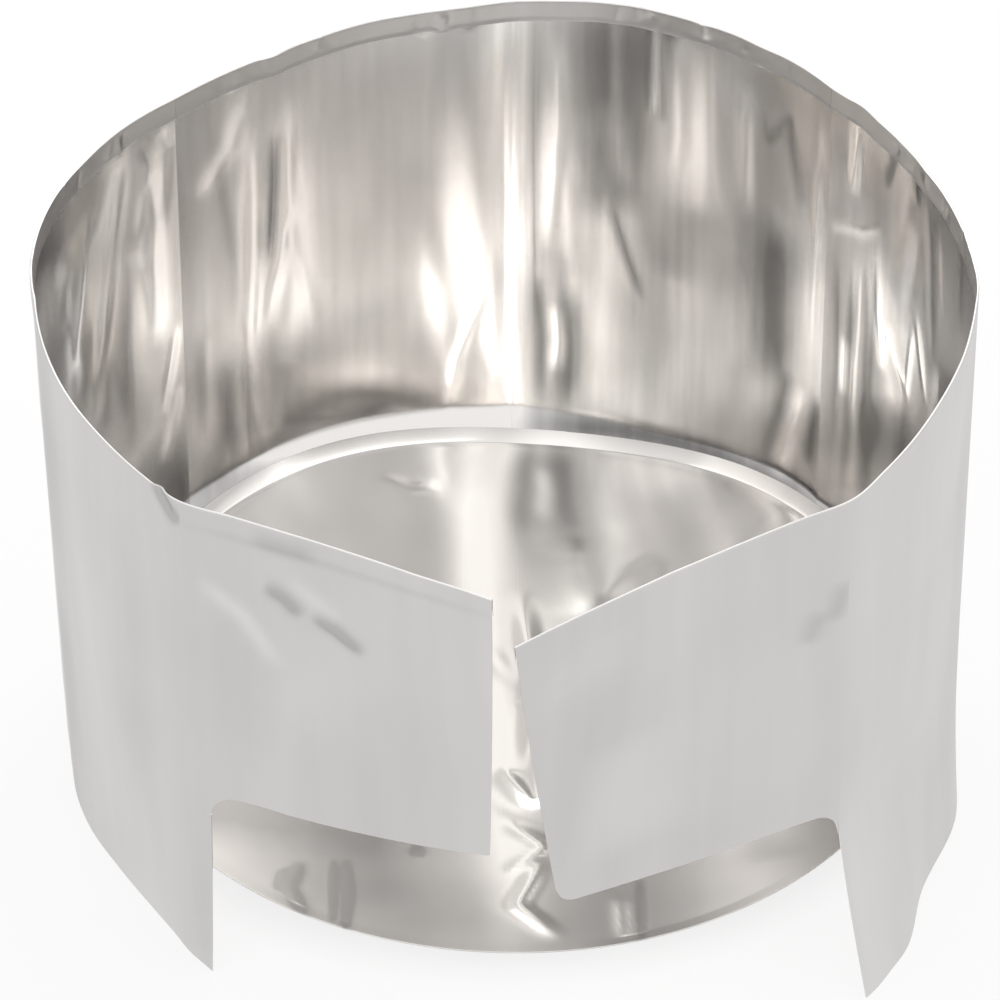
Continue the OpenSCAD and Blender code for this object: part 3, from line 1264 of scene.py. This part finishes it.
@dataclass(frozen=True)
class Windscreen:
    """The strip's eight panels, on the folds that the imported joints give."""

    # Place of the first fold along the strip
    first_place: float = 100 * MM
    folds: tuple[FoldPlan, ...] = (
        FoldPlan("left_flap_fold", 14 * MM),
        FoldPlan("left_fold", 10 * MM, 4.0),
        FoldPlan("back_left_fold", 8 * MM, 5.0),
        FoldPlan("back_fold", 5 * MM, 9.0),
        FoldPlan("back_right_fold", 8 * MM, 5.0),
        FoldPlan("right_fold", 10 * MM, 4.0),
        FoldPlan("right_flap_fold", 14 * MM),
    )
    left_flap: Flap = Flap(
        "left_flap",
        edge=(-3.8, -122.2),
        hand=-1,
        corner_at=5.5 * MM,
        slant=4.2,
        top_out=2.8 * MM,
        bottom_out=-12.2 * MM,
        edge_lift=(5.4 * MM, 0.6 * MM),
        end_r=0.5 * MM,
        folds=LEFT_FLAP_FOLDS,
    )
    right_flap: Flap = Flap(
        "right_flap",
        edge=(8.0, -133.2),
        hand=1,
        corner_at=0.2 * MM,
        slant=11.0,
        top_out=5.4 * MM,
        bottom_out=-5.1 * MM,
        edge_lift=(-3.2 * MM, -2.2 * MM),
        end_r=5.0 * MM,
        folds=RIGHT_FLAP_FOLDS,
    )
    panels: tuple[WallPanel, ...] = (
        WallPanel(
            "left_front_panel",
            8.11 * MM,
            LEFT_FRONT_FOLDS,
            (Ripple(30, 0.5, 14),),
            foot=(
                (-75.8, -86.2), (-86.1, -70.1), (-97, -52.4),
                (-105.5, -36.3), (-109.2, -25), (-111.6, -10.2),
            ),
            foot_reach=(50 * MM, 150 * MM),
            leg=(5.3 * MM, 6 * MM),
            leg_angle=(-24, -50),
            leg_top=54 * MM,
            tongue=3.2 * MM,
            # Inner face painted lighter, so that the walls mirror more light from it
            inner_painted_light=0.9,
            outer_share=1.0,
        ),
        WallPanel(
            "left_side_panel",
            12.19 * MM,
            LEFT_SIDE_FOLDS,
            (Ripple(10, 0.8, 5), Ripple(60, -0.7, 12)),
            foot=((-111.6, -10.2), (-113.9, 13.8), (-109.8, 36.6), (-99.4, 57.7), (-83.6, 75.28)),
            foot_reach=(150 * MM, 150 * MM),
        ),
        WallPanel(
            "back_left_panel", 7.74 * MM, BACK_LEFT_FOLDS, (Ripple(32, -0.8, 4), Ripple(60, 0.6, 14))
        ),
        WallPanel(
            "back_right_panel", 12.46 * MM, BACK_RIGHT_FOLDS, (Ripple(30, 0.5, 14), Ripple(70, -0.5, 6))
        ),
        WallPanel(
            "right_side_panel", 7.95 * MM, RIGHT_SIDE_FOLDS, (Ripple(12, 0.8, 5), Ripple(40, -0.6, 9))
        ),
        WallPanel(
            "right_front_panel",
            7.16 * MM,
            RIGHT_FRONT_FOLDS,
            (Ripple(50, 0.5, 14),),
            foot=(
                (117.93, -4.12), (117.3, -33), (107.2, -60.9),
                (101.3, -84.6), (97.4, -91.2), (91.2, -100.7),
            ),
            # Inner face painted lighter, so that the walls mirror more light from it
            inner_painted_light=0.9,
            outer_share=1.0,
        ),
    )

    def build(self, materials: Materials) -> list[bpy.types.Object]:
        """Builds every panel from the left end to the right end.

        A fold's turn is the angle between the foil's directions before and after it, plus its pinch.

        Args:
            materials: The satin and the bright material.

        Returns:
            The eight pieces.
        """
        axes = {joint["name"]: np.array(joint.get("pos_m", (0, 0, 0))[:2]) for joint in frame["joints"]}
        spots = [axes[fold.joint] for fold in self.folds]
        bows = [Bow(a, b, panel.bulge) for a, b, panel in zip(spots, spots[1:], self.panels)]
        ends = [bow.at(np.array([0.0, 1.0]))[2] for bow in bows]
        before = [spots[0] - np.array(self.left_flap.edge) * MM, *(end[1] for end in ends)]
        after = [*(end[0] for end in ends), np.array(self.right_flap.edge) * MM - spots[-1]]
        places = np.cumsum([self.first_place, *(bow.length for bow in bows)]).tolist()
        lines = []
        for fold, spot, a, b, place in zip(self.folds, spots, before, after, places):
            turn = math.atan2(a[1] * b[0] - a[0] * b[1], float(a @ b)) + math.radians(fold.pinch)
            lines.append(FoldLine(spot, turn / 2, fold.reach, place))
        pieces = [self.left_flap.build(lines[0], materials)]
        for panel, bow, first, last in zip(self.panels, bows, lines, lines[1:]):
            pieces.append(panel.build(bow, first, last, materials))
        pieces.append(self.right_flap.build(lines[-1], materials))
        return pieces


@dataclass(frozen=True)
class Lamp:
    """A soft lamp: its place, its width and height, and its glow, where 1 is the surroundings'."""

    name: str
    place: Place
    size: Point
    glow: float


@dataclass(frozen=True)
class Studio:
    """Floor, white surroundings, soft lamps and the camera."""

    target: Place = (0.0, 3 * MM, 76 * MM)
    distance: float = 1.5985
    pitch: float = 38.73
    lens: float = 226.0
    sensor: float = 36.0
    ambient: float = 0.75
    floor_size: float = 3.0
    floor_drop: float = 0.05 * MM
    floor_paint: float = 0.9
    floor_glow: float = 0.8
    lamps: tuple[Lamp, ...] = (
        Lamp("key_lamp", (-1.0, -0.9, 1.5), (1.2, 1.2), 1.0),
        Lamp("back_lamp", (0.0, 1.25, 1.05), (2.6, 0.9), 1.8),
        Lamp("fill_lamp", (1.3, -0.4, 1.2), (1.0, 1.0), 1.0),
    )

    def camera(self) -> None:
        """Places the camera on its line of sight, looking at the target."""
        pitch = math.radians(self.pitch)
        back = Vector((0, -math.cos(pitch), math.sin(pitch)))
        data = bpy.data.cameras.new("camera")
        data.lens = self.lens
        data.sensor_width = self.sensor
        camera = in_scene("camera", data)
        camera.location = Vector(self.target) + back * self.distance
        camera.rotation_euler = (-back).to_track_quat("-Z", "Y").to_euler()
        bpy.context.scene.camera = camera

    def seen(self, graph: Graph) -> Signal:
        """Tells the rays that show the background to the camera, straight or by metal or glass.

        Args:
            graph: The node tree that asks.

        Returns:
            1 for such a ray, and 0 for one that only carries light.
        """
        path = graph.node("ShaderNodeLightPath", {}, {})
        kinds = ("Camera", "Glossy", "Transmission")
        rays = [Signal(graph, path.outputs[f"Is {kind} Ray"]) for kind in kinds]
        return (rays[0] + rays[1] + rays[2]).held(0.0, 1.0)

    def world(self) -> None:
        """White surroundings, a little dimmer as a light than as a background."""
        world = bpy.data.worlds.new("surroundings")
        bpy.context.scene.world = world
        graph = Graph(world)
        strength = self.seen(graph) * (1 - self.ambient) + self.ambient
        back = graph.node("ShaderNodeBackground", {}, {"Color": grey(1.0), "Strength": strength})
        graph.node("ShaderNodeOutputWorld", {}, {"Surface": back.outputs[0]})

    def floor(self) -> None:
        """A pale floor just under the part, which keeps the part's shadow."""
        half, low = self.floor_size / 2, -self.floor_drop
        corners = [(-half, -half, low), (half, -half, low), (half, half, low), (-half, half, low)]
        mesh = bpy.data.meshes.new("floor")
        mesh.from_pydata(corners, [], [(0, 1, 2, 3)])
        material = bpy.data.materials.new("floor_paint")
        graph = Graph(material)
        paint = graph.node("ShaderNodeBsdfDiffuse", {}, {"Color": grey(self.floor_paint)})
        white = graph.node("ShaderNodeEmission", {}, {"Color": grey(1.0), "Strength": 1.0})
        share = self.seen(graph) * self.floor_glow
        mix = graph.node("ShaderNodeMixShader", {}, {0: share, 1: paint.outputs[0], 2: white.outputs[0]})
        graph.node("ShaderNodeOutputMaterial", {}, {"Surface": mix.outputs[0]})
        mesh.materials.append(material)
        floor = in_scene("floor", mesh)

    def hang(self, lamp: Lamp) -> None:
        """Hangs one lamp, aimed at the middle of the ring.

        Args:
            lamp: The lamp.
        """
        data = bpy.data.lights.new(lamp.name, "AREA")
        data.shape = "RECTANGLE"
        data.size, data.size_y = lamp.size
        data.energy = lamp.glow * math.pi * lamp.size[0] * lamp.size[1]
        hung = in_scene(lamp.name, data)
        hung.location = lamp.place
        aim = Vector(self.target) - Vector(lamp.place)
        hung.rotation_euler = aim.to_track_quat("-Z", "Y").to_euler()

    def build(self) -> None:
        """Builds the studio round the part."""
        self.camera()
        self.world()
        self.floor()
        for lamp in self.lamps:
            self.hang(lamp)
        bpy.context.scene.view_settings.view_transform = "Standard"


def main() -> None:
    """Builds the windscreen, the heat reflector and the studio."""
    logging.basicConfig(level=logging.INFO, format="%(name)s: %(message)s")
    satin, bright, dish = (finish.material() for finish in (SATIN_FOIL, BRIGHT_FOIL, DISH_FOIL))
    Windscreen().build((satin, bright))
    HeatReflector(folds=DISH_FOLDS).build((satin, dish))
    Studio().build()


if __name__ == "__main__":
    main()
